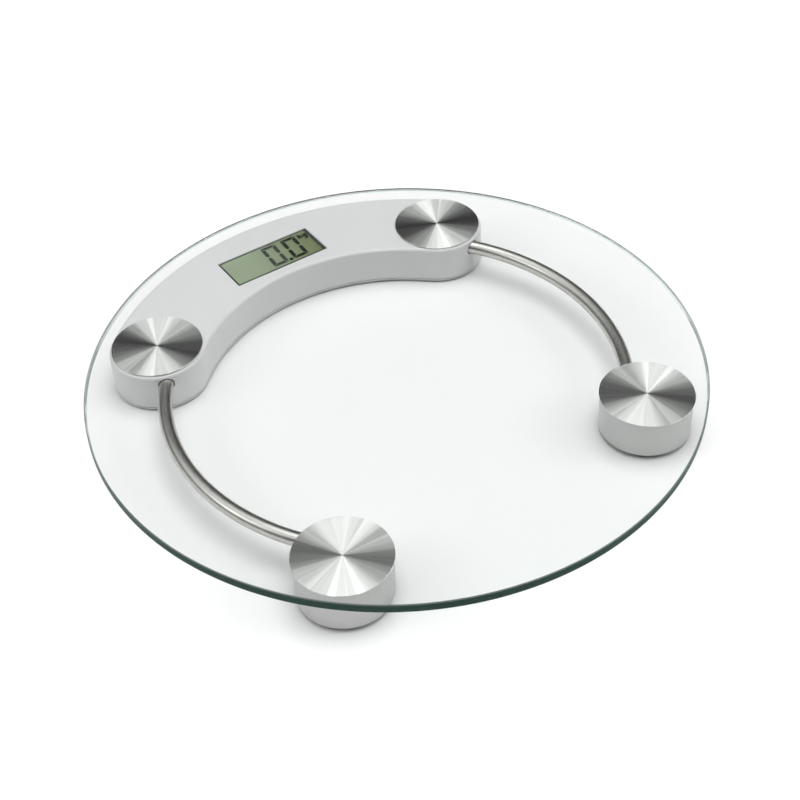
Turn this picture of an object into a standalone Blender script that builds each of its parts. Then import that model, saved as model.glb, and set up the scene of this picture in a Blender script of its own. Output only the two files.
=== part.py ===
"""Round glass bathroom scale with a crescent display housing, two steel tubes and four weighing feet.

Units are metres, +Z up. The origin is on the floor under the centre of the glass, and the
display is on the +Y side, where it faces a person who stands at -Y.
"""
import math

import bmesh
import bpy
from mathutils import Matrix, Vector

MM = 0.001
GAP = 0.3 * MM                      # room kept between pieces that touch on the real scale

# Platform
GLASS_RADIUS = 165.0 * MM
GLASS_THICKNESS = 6.0 * MM
GLASS_ARRIS = 0.8 * MM              # ground and polished edge
GLASS_TOP = 31.0 * MM
GLASS_BOTTOM = GLASS_TOP - GLASS_THICKNESS

# The four weighing corners
CORNER_CIRCLE = 133.3 * MM
CORNERS = {"rear_right": 45.0, "rear_left": 135.0, "front_left": 225.0, "front_right": 315.0}
DISC_RADIUS = 25.0 * MM
DISC_THICKNESS = 0.6 * MM
DISC_TOP = GLASS_BOTTOM - GAP
BODY_TOP = DISC_TOP - DISC_THICKNESS - GAP
WALL = 2.0 * MM

# Crescent display housing
BAND = 26.4 * MM                    # half its width, and the radius of its round ends
TOP_FILLET = 3.0 * MM
BASE_BOTTOM = 1.6 * MM
BASE_RIM = 0.8 * MM                 # thickness of the rim that closes the shell's wall
BASE_TOP = 4.0 * MM
SHELL_BOTTOM = BASE_BOTTOM + BASE_RIM + GAP
CEILING = BODY_TOP - WALL

# Front pods
POD_RADIUS = 24.3 * MM
POD_BOTTOM = 2.7 * MM

# Steel tubes between the housing and the pods
TUBE_CIRCLE = 123.7 * MM
TUBE_RADIUS = 3.9 * MM
TUBE_WALL = 0.8 * MM
TUBE_HEIGHT = 18.0 * MM
TUBE_INSERT = 4.6 * MM              # how far a tube reaches behind an outer face
TUBE_HOLE = TUBE_RADIUS + 0.45 * MM

# Weighing cells and feet
CELL_SIDE = 30.0 * MM
CELL_THICKNESS = 2.0 * MM
CELL_BOTTOM = 10.3 * MM
CELL_TOP = CELL_BOTTOM + CELL_THICKNESS
SEAT_OUTER = 16.0 * MM
SEAT_INNER = 13.0 * MM
SEAT_BOTTOM = CELL_TOP + GAP
FOOT_RADIUS = 19.6 * MM
FOOT_BOTTOM = 1.9 * MM
FOOT_TRAVEL = 0.5 * MM
FOOT_OPENING = 21.0 * MM
FOOT_PIN = 2.2 * MM
FOOT_WALL = 2.0 * MM
FOOT_FLOOR = 4.4 * MM
FOOT_RIM = 8.4 * MM
FOOT_STUB = 5.0 * MM
PIN_TOP = CELL_TOP + 1.3 * MM
CELL_HOLE = FOOT_PIN + 0.4 * MM
CELL_FILLET = 4.0 * MM
GAUGE_HEIGHT = 1.3 * MM
WIRE_RADIUS = 1.2 * MM
WIRE_SPACING = 9.0 * MM
PAD_RADIUS = 17.0 * MM
PAD_TOP = FOOT_BOTTOM - GAP

# Display and circuit board
WINDOW_X = (-31.0 * MM, 29.0 * MM)
WINDOW_Y = (114.3 * MM, 139.5 * MM)
LENS_TOP = BODY_TOP - 0.4 * MM
LENS_BOTTOM = LENS_TOP - 0.5 * MM
PANEL_MARGIN = 1.6 * MM             # how far the panel reaches behind the window's lip
PANEL_THICKNESS = 1.8 * MM
PANEL_TOP = LENS_BOTTOM - GAP
PANEL_BOTTOM = PANEL_TOP - PANEL_THICKNESS
BOARD_X = (-38.0 * MM, 50.0 * MM)
BOARD_Y = (112.0 * MM, 142.0 * MM)
BOARD_BOTTOM = 14.6 * MM
BOARD_TOP = 16.2 * MM
CHIP_CENTRE = Vector((4.0, 127.0, 0.0)) * MM
CAPACITOR_CENTRE = Vector((20.0, 134.0, 0.0)) * MM
CAPACITOR_RADIUS = 2.5 * MM
CAPACITOR_HEIGHT = 5.4 * MM

# Screws: (x, y) of the board's in mm, and (radius, degrees) of the base's
BOARD_SCREWS = [(-35.4, 116.0), (-35.4, 138.0), (33.4, 116.0), (33.4, 138.0)]
BASE_SCREWS = {"centre": (151.0, 90.0), "inner_left": (115.0, 120.0), "inner_right": (115.0, 60.0),
               "outer_left": (151.0, 118.0), "outer_right": (151.0, 62.0)}
BASE_HEAD = (2.7 * MM, 1.8 * MM, 2.8 * MM)          # radius, low and high
BASE_SHANK = (0.9 * MM, 12.0 * MM)                  # radius and tip
BOARD_HEAD_RADIUS = 2.0 * MM
BOARD_HEAD_HEIGHT = 1.1 * MM
BOARD_SHANK = (0.7 * MM, 19.6 * MM)
BASE_BOSS = 3.0 * MM                # bosses in the shell, and their pilot holes
BASE_PILOT = 1.2 * MM
BASE_PILOT_TOP = 14.0 * MM
BOARD_BOSS = 2.2 * MM
BOARD_PILOT = 1.0 * MM
BOARD_PILOT_TOP = 20.5 * MM
HEAD_RECESS = 3.2 * MM
HEAD_RECESS_TOP = 3.1 * MM
BASE_CLEARANCE = 1.6 * MM
BOARD_CLEARANCE = 1.3 * MM

# Battery bay
COIN_X = 45.6 * MM
COIN_Y = 125.3 * MM
COIN_RADIUS = 10.0 * MM
COIN_BOTTOM = 4.2 * MM
COIN_TOP = COIN_BOTTOM + 3.2 * MM
DOOR_HALF_X = 12.5 * MM
DOOR_HALF_Y = 13.5 * MM
DOOR_BOTTOM = 1.9 * MM
DOOR_THICKNESS = 1.6 * MM
DOOR_AXIS_Z = DOOR_BOTTOM + DOOR_THICKNESS / 2
DOOR_AXIS_Y = COIN_Y + DOOR_HALF_Y - DOOR_THICKNESS / 2
BAY_WALL = 1.2 * MM
BAY_CEILING = 8.4 * MM
CONTACT = 0.4 * MM                  # thickness of the sprung strip
CONTACT_HALF = 3.0 * MM             # half the width of the positive contact
LEAF_HALF = 2.5 * MM                # half the width of the negative one
LEAF_REACH = 5.0 * MM
LEG_OFFSET = 1.0 * MM               # from the cell's rim to the negative contact's leg
SLOT_ROOM = 0.4 * MM
PEG_RADIUS = 0.4 * MM
PEG_REACH = 0.8 * MM
PEG_SOCKET = 0.7 * MM
NAIL_HALF = 4.0 * MM
GRIP_HALF = 5.0 * MM
GRIP_STEP = 2.0 * MM
GRIP_DEPTH = 0.4 * MM

# Unit button and its switch
BUTTON_X = -22.0 * MM
BUTTON_Y = 128.0 * MM
BUTTON_RADIUS = 4.0 * MM
BUTTON_FLANGE = 5.6 * MM
BUTTON_STEM = 1.8 * MM
BUTTON_ROOM = 0.4 * MM
BUTTON_BOTTOM = 1.9 * MM
BUTTON_TOP = 9.3 * MM
PLUNGER_RADIUS = 1.7 * MM
PLUNGER_LENGTH = 2.7 * MM
SWITCH_BOTTOM = 10.8 * MM
SWITCH_HALF = 3.0 * MM

SMOOTH_ANGLE = math.radians(32)
WELD = 0.00001                      # points or heights closer than this are one
# Turns a (y, z) section that was raised along Z so that it runs along X.
UPRIGHT = Matrix(((0, 0, 1, 0), (1, 0, 0, 0), (0, 1, 0, 0), (0, 0, 0, 1)))


# ---------------------------------------------------------------- scene and materials

def clear_scene():
    for obj in list(bpy.data.objects):
        bpy.data.objects.remove(obj, do_unlink=True)
    for collection in list(bpy.data.collections):
        bpy.data.collections.remove(collection)


def new_collection(name):
    collection = bpy.data.collections.new(name)
    bpy.context.scene.collection.children.link(collection)
    return collection


def make_material(name, colour, roughness, metallic=0.0, alpha=1.0):
    material = bpy.data.materials.new(name)
    material.use_nodes = True
    shader = material.node_tree.nodes["Principled BSDF"]
    shader.inputs["Base Color"].default_value = (*colour, 1.0)
    shader.inputs["Roughness"].default_value = roughness
    shader.inputs["Metallic"].default_value = metallic
    shader.inputs["Alpha"].default_value = alpha
    material.diffuse_color = (*colour, alpha)
    return material


def keep(obj, finish):
    """Put a finished piece in the scale's collection with a material of its own."""
    for collection in list(obj.users_collection):
        collection.objects.unlink(obj)
    PARTS.objects.link(obj)
    obj.data.materials.clear()
    obj.data.materials.append(make_material(obj.name, *finish))
    obj.data.shade_smooth()
    obj.data.set_sharp_from_angle(angle=SMOOTH_ANGLE)


def as_tool(obj):
    """Keep a cutting or joining shape out of the build."""
    for collection in list(obj.users_collection):
        collection.objects.unlink(obj)
    TOOLS.objects.link(obj)
    obj.hide_render = True
    obj.display_type = "WIRE"
    return obj


# ---------------------------------------------------------------- shapes

def polar(radius, degrees, z=0.0):
    turn = math.radians(degrees)
    return Vector((radius * math.cos(turn), radius * math.sin(turn), z))


def arc(centre, radius, start, end, count):
    """Points on an arc from start to end degrees, both ends included."""
    step = (end - start) / (count - 1)
    return [centre + polar(radius, start + step * i) for i in range(count)]


def link_mesh(name, bm):
    mesh = bpy.data.meshes.new(name)
    bm.to_mesh(mesh)
    bm.free()
    obj = bpy.data.objects.new(name, mesh)
    bpy.context.scene.collection.objects.link(obj)
    return obj


def turned(name, profile, segments, centre=Vector((0, 0, 0))):
    """A turned piece: the profile of (radius, height) points runs down its outer side."""
    bm = bmesh.new()
    verts = [bm.verts.new((radius, 0.0, z)) for radius, z in profile]
    for first, second in zip(verts, verts[1:]):
        bm.edges.new((first, second))
    obj = link_mesh(name, bm)
    obj.location = (centre.x, centre.y, 0.0)
    screw = obj.modifiers.new("Turn", "SCREW")
    screw.axis = "Z"
    screw.angle = 2 * math.pi
    screw.screw_offset = 0.0
    screw.steps = segments
    screw.render_steps = segments
    screw.use_merge_vertices = True
    screw.merge_threshold = WELD
    screw.use_smooth_shade = False
    return obj


def bake(obj):
    """Replace an object by the mesh it evaluates to, with its loose caps welded."""
    depsgraph = bpy.context.evaluated_depsgraph_get()
    mesh = bpy.data.meshes.new_from_object(obj.evaluated_get(depsgraph))
    bm = bmesh.new()
    bm.from_mesh(mesh)
    bmesh.ops.remove_doubles(bm, verts=bm.verts, dist=0.000002)
    bm.to_mesh(mesh)
    bm.free()
    name = obj.name
    matrix = obj.matrix_world.copy()
    bpy.data.objects.remove(obj)
    solid = bpy.data.objects.new(name, mesh)
    bpy.context.scene.collection.objects.link(solid)
    solid.matrix_world = matrix
    return solid


def prism(name, loops, low, high):
    """A flat outline, with any holes as further loops, raised from low to high."""
    curve = bpy.data.curves.new(name, "CURVE")
    curve.dimensions = "2D"
    curve.fill_mode = "BOTH"
    curve.extrude = (high - low) / 2
    for loop in loops:
        spline = curve.splines.new("POLY")
        spline.points.add(len(loop) - 1)
        for point, place in zip(spline.points, loop):
            point.co = (place.x, place.y, 0.0, 1.0)
        spline.use_cyclic_u = True
    obj = bpy.data.objects.new(name, curve)
    bpy.context.scene.collection.objects.link(obj)
    obj.location = (0.0, 0.0, (low + high) / 2)
    bpy.context.view_layer.update()
    return bake(obj)


def rod(name, points, radius, resolution):
    """A round rod or wire along a list of points."""
    curve = bpy.data.curves.new(name, "CURVE")
    curve.dimensions = "3D"
    curve.bevel_depth = radius
    curve.bevel_resolution = resolution
    curve.use_fill_caps = True
    spline = curve.splines.new("POLY")
    spline.points.add(len(points) - 1)
    for point, place in zip(spline.points, points):
        point.co = (*place, 1.0)
    obj = bpy.data.objects.new(name, curve)
    bpy.context.scene.collection.objects.link(obj)
    bpy.context.view_layer.update()
    return bake(obj)


def add_box(bm, low, high):
    size = Vector(high) - Vector(low)
    middle = (Vector(high) + Vector(low)) / 2
    matrix = Matrix.Translation(middle) @ Matrix.Diagonal((*size, 1.0))
    bmesh.ops.create_cube(bm, size=1.0, matrix=matrix)


def add_post(bm, centre, radius, low, high, segments, axis="Z"):
    """A cylinder from low to high along an axis, about a centre whose own height is ignored."""
    turn = Matrix.Identity(4)
    place = Vector((centre[0], centre[1], (low + high) / 2))
    if axis == "X":
        turn = Matrix.Rotation(math.pi / 2, 4, "Y")
        place = Vector(((low + high) / 2, centre[0], centre[1]))
    bmesh.ops.create_cone(bm, cap_ends=True, segments=segments, radius1=radius, radius2=radius,
                          depth=high - low, matrix=Matrix.Translation(place) @ turn)


def box(name, low, high):
    bm = bmesh.new()
    add_box(bm, low, high)
    return link_mesh(name, bm)


def combine(obj, tool, operation):
    boolean = obj.modifiers.new(operation.title(), "BOOLEAN")
    boolean.operation = operation
    boolean.solver = "EXACT"
    boolean.object = as_tool(tool)


def soften(obj, width, segments=1):
    bevel = obj.modifiers.new("Edges", "BEVEL")
    bevel.width = width
    bevel.segments = segments
    bevel.limit_method = "ANGLE"
    bevel.angle_limit = math.radians(50)


def crescent(inset):
    """Outline of the housing: a band along the corner circle with round ends, inset all round."""
    half = BAND - inset
    first = CORNERS["rear_right"]
    last = CORNERS["rear_left"]
    middle = Vector((0, 0, 0))
    points = arc(middle, CORNER_CIRCLE + half, first, last, 27)
    points += arc(polar(CORNER_CIRCLE, last), half, last, last + 180, 17)[1:]
    points += arc(middle, CORNER_CIRCLE - half, last, first, 21)[1:]
    points += arc(polar(CORNER_CIRCLE, first), half, first + 180, first + 360, 17)[1:-1]
    return points


def smooth_route(stops, spacing):
    """Points about a spacing apart on a smooth curve through (radius, degrees, height) stops."""
    places = [polar(radius, degrees, z) for radius, degrees, z in stops]
    ends = [2 * places[0] - places[1]] + places + [2 * places[-1] - places[-2]]
    route = []
    for before, start, end, after in zip(ends, ends[1:], ends[2:], ends[3:]):
        count = max(1, round((end - start).length / spacing))
        for i in range(count):
            t = i / count
            route.append(0.5 * ((2 * start) + (end - before) * t
                                + (2 * before - 5 * start + 4 * end - after) * t * t
                                + (3 * start - before - 3 * end + after) * t ** 3))
    route.append(places[-1])
    return route


def meeting_angle(distance):
    """Degrees along the tube circle from a corner's own angle to a distance from its centre."""
    cosine = (CORNER_CIRCLE ** 2 + TUBE_CIRCLE ** 2 - distance ** 2) / (2 * CORNER_CIRCLE * TUBE_CIRCLE)
    return math.degrees(math.acos(cosine))


def tube_arc(start, end, count):
    return arc(Vector((0, 0, TUBE_HEIGHT)), TUBE_CIRCLE, start, end, count)


# ---------------------------------------------------------------- finishes: colour, roughness, metallic

GLASS = ((0.80, 0.88, 0.86), 0.05, 0.0, 0.35)
STEEL = ((0.62, 0.62, 0.60), 0.30, 1.0)
WHITE_PLASTIC = ((0.80, 0.81, 0.80), 0.40)
SILVER_PLASTIC = ((0.58, 0.58, 0.57), 0.42)
RUBBER = ((0.06, 0.06, 0.06), 0.85)
BLACK_PLASTIC = ((0.03, 0.03, 0.03), 0.5)
SILICONE = ((0.86, 0.86, 0.84), 0.6)
BOARD_GREEN = ((0.03, 0.20, 0.09), 0.45)
DISPLAY = ((0.40, 0.45, 0.37), 0.2)
CLEAR = ((0.85, 0.88, 0.86), 0.05, 0.0, 0.35)
WIRE_RED = ((0.45, 0.05, 0.04), 0.5)


# ---------------------------------------------------------------- pieces

def make_glass():
    edge = GLASS_RADIUS
    cut = GLASS_ARRIS
    half = cut * 0.3
    profile = [(0, GLASS_TOP), (edge - cut, GLASS_TOP), (edge - half, GLASS_TOP - half),
               (edge, GLASS_TOP - cut), (edge, GLASS_BOTTOM + cut), (edge - half, GLASS_BOTTOM + half),
               (edge - cut, GLASS_BOTTOM), (0, GLASS_BOTTOM)]
    keep(turned("glass_platform", profile, 80), GLASS)


def make_disc(corner, degrees):
    """A thin spun metal disc that is bonded under the glass and carries a corner."""
    low = DISC_TOP - DISC_THICKNESS
    chamfer = 0.2 * MM
    profile = [(0, DISC_TOP), (DISC_RADIUS - chamfer, DISC_TOP), (DISC_RADIUS, DISC_TOP - chamfer),
               (DISC_RADIUS, low), (0, low)]
    keep(turned("disc_" + corner, profile, 44, polar(CORNER_CIRCLE, degrees)), STEEL)


def round_rim(obj, height, radius, segments):
    """Round over the edges of a solid that lie at one height."""
    bm = bmesh.new()
    bm.from_mesh(obj.data)
    local = height - obj.location.z
    rim = [edge for edge in bm.edges
           if all(abs(vert.co.z - local) < WELD for vert in edge.verts)
           and edge.calc_face_angle(0.0) > 1.0]
    bmesh.ops.bevel(bm, geom=rim, offset=radius, offset_type="OFFSET", segments=segments,
                    profile=0.5, affect="EDGES")
    bm.to_mesh(obj.data)
    bm.free()


def tube_notch(name, start, end):
    """A short bent cutter along the tube's line, for the hole that a tube or wire passes."""
    return rod(name, tube_arc(start, end, 5), TUBE_HOLE, 3)


def make_housing_top():
    shell = prism("housing_top", [crescent(0.0)], SHELL_BOTTOM, BODY_TOP)
    round_rim(shell, BODY_TOP, TOP_FILLET, 3)
    combine(shell, prism("housing_cavity", [crescent(WALL)], 0.0, CEILING), "DIFFERENCE")
    posts = bmesh.new()
    bores = bmesh.new()
    root = CEILING + WALL / 2
    for corner in ("rear_right", "rear_left"):
        centre = polar(CORNER_CIRCLE, CORNERS[corner])
        add_post(posts, centre, SEAT_OUTER, SEAT_BOTTOM, root, 28)
        add_post(bores, centre, SEAT_INNER, 0.0, CEILING, 28)
    for radius, degrees in BASE_SCREWS.values():
        centre = polar(radius * MM, degrees)
        add_post(posts, centre, BASE_BOSS, BASE_TOP + GAP, root, 12)
        add_post(bores, centre, BASE_PILOT, 0.0, BASE_PILOT_TOP, 12)
    for x, y in BOARD_SCREWS:
        centre = (x * MM, y * MM)
        add_post(posts, centre, BOARD_BOSS, BOARD_TOP + GAP, root, 10)
        add_post(bores, centre, BOARD_PILOT, 0.0, BOARD_PILOT_TOP, 8)
    combine(shell, link_mesh("housing_posts", posts), "UNION")
    combine(shell, link_mesh("housing_bores", bores), "DIFFERENCE")
    window = box("window_opening", (WINDOW_X[0], WINDOW_Y[0], CEILING - WALL),
                 (WINDOW_X[1], WINDOW_Y[1], GLASS_TOP))
    combine(shell, window, "DIFFERENCE")
    room = PANEL_MARGIN + GAP
    pocket = box("panel_pocket", (WINDOW_X[0] - room, WINDOW_Y[0] - room, CEILING - WALL),
                 (WINDOW_X[1] + room, WINDOW_Y[1] + room, LENS_BOTTOM))
    combine(shell, pocket, "DIFFERENCE")
    outside = meeting_angle(BAND) + 3
    inside = meeting_angle(BAND - WALL) - 1.5
    for side, corner, way in (("left", "rear_left", 1), ("right", "rear_right", -1)):
        middle = CORNERS[corner]
        hole = tube_notch("tube_hole_" + side, middle + way * inside, middle + way * outside)
        combine(shell, hole, "DIFFERENCE")
        notch = tube_notch("wire_notch_" + side, middle - way * 2, middle - way * 8)
        combine(shell, notch, "DIFFERENCE")
    keep(shell, WHITE_PLASTIC)


def make_housing_base():
    base = prism("housing_base", [crescent(0.0)], BASE_BOTTOM, BASE_BOTTOM + BASE_RIM)
    tray = prism("base_tray", [crescent(WALL + GAP)], BASE_BOTTOM + BASE_RIM / 2, BASE_TOP)
    combine(base, tray, "UNION")
    bay_x = DOOR_HALF_X + GAP
    bay_y = DOOR_HALF_Y + GAP
    bay = box("bay_walls", (COIN_X - bay_x - BAY_WALL, COIN_Y - bay_y - BAY_WALL, BASE_TOP - MM),
              (COIN_X + bay_x + BAY_WALL, COIN_Y + bay_y + BAY_WALL, BAY_CEILING + BAY_WALL))
    combine(base, bay, "UNION")
    cuts = bmesh.new()
    add_box(cuts, (COIN_X - bay_x, COIN_Y - bay_y, 0.0), (COIN_X + bay_x, COIN_Y + bay_y, BAY_CEILING))
    for corner in ("rear_right", "rear_left"):
        add_post(cuts, polar(CORNER_CIRCLE, CORNERS[corner]), FOOT_OPENING, 0.0, BAY_CEILING, 32)
    add_post(cuts, (BUTTON_X, BUTTON_Y), BUTTON_RADIUS + BUTTON_ROOM, 0.0, BAY_CEILING, 20)
    for radius, degrees in BASE_SCREWS.values():
        add_post(cuts, polar(radius * MM, degrees), BASE_CLEARANCE, 0.0, BAY_CEILING, 10)
    combine(base, link_mesh("base_cuts", cuts), "DIFFERENCE")
    recesses = bmesh.new()
    for radius, degrees in BASE_SCREWS.values():
        add_post(recesses, polar(radius * MM, degrees), HEAD_RECESS, 0.0, HEAD_RECESS_TOP, 16)
    for side in (-1, 1):
        near = COIN_X + side * (DOOR_HALF_X - PEG_REACH)
        far = COIN_X + side * (DOOR_HALF_X + PEG_REACH + GAP)
        add_post(recesses, (DOOR_AXIS_Y, DOOR_AXIS_Z), PEG_SOCKET, min(near, far), max(near, far), 10, "X")
    nail = COIN_Y - bay_y
    add_box(recesses, (COIN_X - NAIL_HALF, nail - 2.5 * MM, 0.0),
            (COIN_X + NAIL_HALF, nail + MM, 2.6 * MM))
    roof = BAY_CEILING + BAY_WALL + MM
    for (low, high) in contact_slots():
        add_box(recesses, (*low, BAY_CEILING - MM), (*high, roof))
    combine(base, link_mesh("base_recesses", recesses), "DIFFERENCE")
    keep(base, WHITE_PLASTIC)


def contact_slots():
    """Low and high corners in plan of the bay roof's two slots, for the contacts' legs."""
    side = COIN_X - COIN_RADIUS - GAP - CONTACT
    leg = COIN_Y + COIN_RADIUS + LEG_OFFSET
    half = CONTACT_HALF + SLOT_ROOM
    positive = ((side - SLOT_ROOM, COIN_Y - half), (side + CONTACT + SLOT_ROOM, COIN_Y + half))
    half = LEAF_HALF + SLOT_ROOM
    negative = ((COIN_X - half, leg - SLOT_ROOM), (COIN_X + half, leg + CONTACT + SLOT_ROOM))
    return [positive, negative]


def make_pod(corner, degrees, way):
    """A turned cup that covers a front corner, with a seat for its weighing cell."""
    radius = POD_RADIUS
    inner = radius - WALL
    profile = [(0, BODY_TOP), (radius - 1.0 * MM, BODY_TOP), (radius - 0.3 * MM, BODY_TOP - 0.3 * MM),
               (radius, BODY_TOP - 1.0 * MM), (radius - 0.2 * MM, POD_BOTTOM + 0.6 * MM),
               (radius - 0.8 * MM, POD_BOTTOM), (inner, POD_BOTTOM), (inner, CEILING),
               (SEAT_OUTER, CEILING), (SEAT_OUTER, SEAT_BOTTOM), (SEAT_INNER, SEAT_BOTTOM),
               (SEAT_INNER, CEILING), (0, CEILING)]
    pod = turned("pod_shell_" + corner, profile, 36, polar(CORNER_CIRCLE, degrees))
    outside = meeting_angle(radius) + 3
    hole = tube_notch("tube_hole_" + corner, degrees + way * 3.2, degrees + way * outside)
    combine(pod, hole, "DIFFERENCE")
    keep(pod, SILVER_PLASTIC)


def make_tube(side, rear, front, way):
    """A bent steel tube from the housing's round end to a front pod."""
    start = CORNERS[rear] + way * (meeting_angle(BAND) - math.degrees(TUBE_INSERT / TUBE_CIRCLE))
    end = CORNERS[front] - way * (meeting_angle(POD_RADIUS) - math.degrees(TUBE_INSERT / TUBE_CIRCLE))
    if way < 0:
        start += 360
    tube = rod("tube_" + side, tube_arc(start, end, 21), TUBE_RADIUS, 4)
    over = 1.0 if end > start else -1.0
    bore = rod("tube_bore_" + side, tube_arc(start - over, end + over, 21), TUBE_RADIUS - TUBE_WALL, 2)
    combine(tube, bore, "DIFFERENCE")
    keep(tube, STEEL)


def corner_point(centre, degrees, across, outward):
    """A point given along a corner's own tangent and radius."""
    return centre + polar(outward, degrees) + polar(across, degrees + 90)


def make_load_cell(corner, degrees):
    """A stamped steel plate whose tongue bends under the foot, cut free by a U-shaped slot."""
    centre = polar(CORNER_CIRCLE, degrees)
    half = CELL_SIDE / 2
    inner = half - CELL_FILLET
    outline = []
    for i, (u, v) in enumerate(((inner, inner), (-inner, inner), (-inner, -inner), (inner, -inner))):
        for j in range(4):
            turn = math.radians(90 * i + 30 * j)
            outline.append((u + CELL_FILLET * math.cos(turn), v + CELL_FILLET * math.sin(turn)))
    slot = [(-8, -6), (-8, 9), (8, 9), (8, -6), (6, -6), (6, 7), (-6, 7), (-6, -6)]
    slot = [(u * MM, v * MM) for u, v in slot]
    hole = [(CELL_HOLE * math.cos(math.pi * i / 6), CELL_HOLE * math.sin(math.pi * i / 6))
            for i in range(12)]
    loops = [[corner_point(centre, degrees, u, v) for u, v in loop] for loop in (outline, slot, hole)]
    keep(prism("load_cell_" + corner, loops, CELL_BOTTOM, CELL_TOP), STEEL)


def make_gauge_potting(corner, degrees):
    """The silicone block that covers the strain gauge on a cell's neck."""
    centre = polar(CORNER_CIRCLE, degrees)
    plan = [(-4, -9), (4, -9), (4, -4), (-4, -4)]
    loop = [corner_point(centre, degrees, u * MM, v * MM) for u, v in plan]
    low = CELL_TOP + GAP
    block = prism("gauge_potting_" + corner, [loop], low, low + GAUGE_HEIGHT)
    soften(block, 0.4 * MM)
    keep(block, SILICONE)


def make_foot(corner, degrees):
    """A foot cup that hangs on its cell's tongue, and the rubber pad under it."""
    centre = polar(CORNER_CIRCLE, degrees)
    shoulder = CELL_BOTTOM - GAP - FOOT_TRAVEL
    inner = FOOT_RADIUS - FOOT_WALL
    cut = 0.6 * MM
    cup = [(0, PIN_TOP), (FOOT_PIN, PIN_TOP), (FOOT_PIN, shoulder), (FOOT_STUB, shoulder),
           (FOOT_STUB, FOOT_FLOOR), (inner, FOOT_FLOOR), (inner, FOOT_RIM), (FOOT_RADIUS, FOOT_RIM),
           (FOOT_RADIUS, FOOT_BOTTOM + cut), (FOOT_RADIUS - cut, FOOT_BOTTOM), (0, FOOT_BOTTOM)]
    keep(turned("foot_cup_" + corner, cup, 24, centre), BLACK_PLASTIC)
    cut = 0.5 * MM
    pad = [(0, PAD_TOP), (PAD_RADIUS, PAD_TOP), (PAD_RADIUS, cut), (PAD_RADIUS - cut, 0), (0, 0)]
    keep(turned("foot_pad_" + corner, pad, 28, centre), RUBBER)


def make_display():
    """The clear window, the liquid-crystal panel and the strip that connects it to the board."""
    low = (WINDOW_X[0] + GAP, WINDOW_Y[0] + GAP, LENS_BOTTOM)
    high = (WINDOW_X[1] - GAP, WINDOW_Y[1] - GAP, LENS_TOP)
    lens = box("display_window", low, high)
    soften(lens, 0.15 * MM)
    keep(lens, CLEAR)
    low = (WINDOW_X[0] - PANEL_MARGIN, WINDOW_Y[0] - PANEL_MARGIN, PANEL_BOTTOM)
    high = (WINDOW_X[1] + PANEL_MARGIN, WINDOW_Y[1] + PANEL_MARGIN, PANEL_TOP)
    keep(box("display_panel", low, high), DISPLAY)
    low = (WINDOW_X[0] + 3 * MM, WINDOW_Y[0], BOARD_TOP + GAP)
    high = (WINDOW_X[1] - 3 * MM, WINDOW_Y[0] + 2.2 * MM, PANEL_BOTTOM - GAP)
    keep(box("connector_strip", low, high), SILICONE)


def make_board():
    low = Vector((BOARD_X[0], BOARD_Y[0], 0))
    high = Vector((BOARD_X[1], BOARD_Y[1], 0))
    outline = [low, Vector((high.x, low.y, 0)), high, Vector((low.x, high.y, 0))]
    holes = [arc(Vector((x * MM, y * MM, 0)), BOARD_CLEARANCE, 0, 315, 8) for x, y in BOARD_SCREWS]
    keep(prism("circuit_board", [outline] + holes, BOARD_BOTTOM, BOARD_TOP), BOARD_GREEN)
    under = BOARD_BOTTOM - GAP
    chip = [(0, under), (5.5 * MM, under), (5.2 * MM, under - 0.7 * MM), (3.5 * MM, under - 1.5 * MM),
            (0, under - 1.8 * MM)]
    keep(turned("chip_potting", chip, 16, CHIP_CENTRE), BLACK_PLASTIC)
    cut = 0.4 * MM
    end = under - CAPACITOR_HEIGHT
    can = [(0, under), (CAPACITOR_RADIUS, under), (CAPACITOR_RADIUS, end + cut),
           (CAPACITOR_RADIUS - cut, end), (0, end)]
    keep(turned("capacitor", can, 16, CAPACITOR_CENTRE), BLACK_PLASTIC)


def make_screw(name, centre, head, shank):
    """A pan-head screw that points up: head is its radius, low and high, shank its radius and tip."""
    radius, low, high = head
    thin, tip = shank
    profile = [(0, tip), (thin * 0.5, tip), (thin, tip - thin), (thin, high), (radius, high),
               (radius, low + 0.4 * MM), (radius - 0.5 * MM, low), (0, low)]
    keep(turned(name, profile, 12, centre), STEEL)


def make_screws():
    for place, (radius, degrees) in BASE_SCREWS.items():
        make_screw("base_screw_" + place, polar(radius * MM, degrees), BASE_HEAD, BASE_SHANK)
    high = BOARD_BOTTOM - GAP
    head = (BOARD_HEAD_RADIUS, high - BOARD_HEAD_HEIGHT, high)
    for number, (x, y) in enumerate(BOARD_SCREWS, 1):
        make_screw("board_screw_%d" % number, Vector((x * MM, y * MM, 0)), head, BOARD_SHANK)


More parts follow.
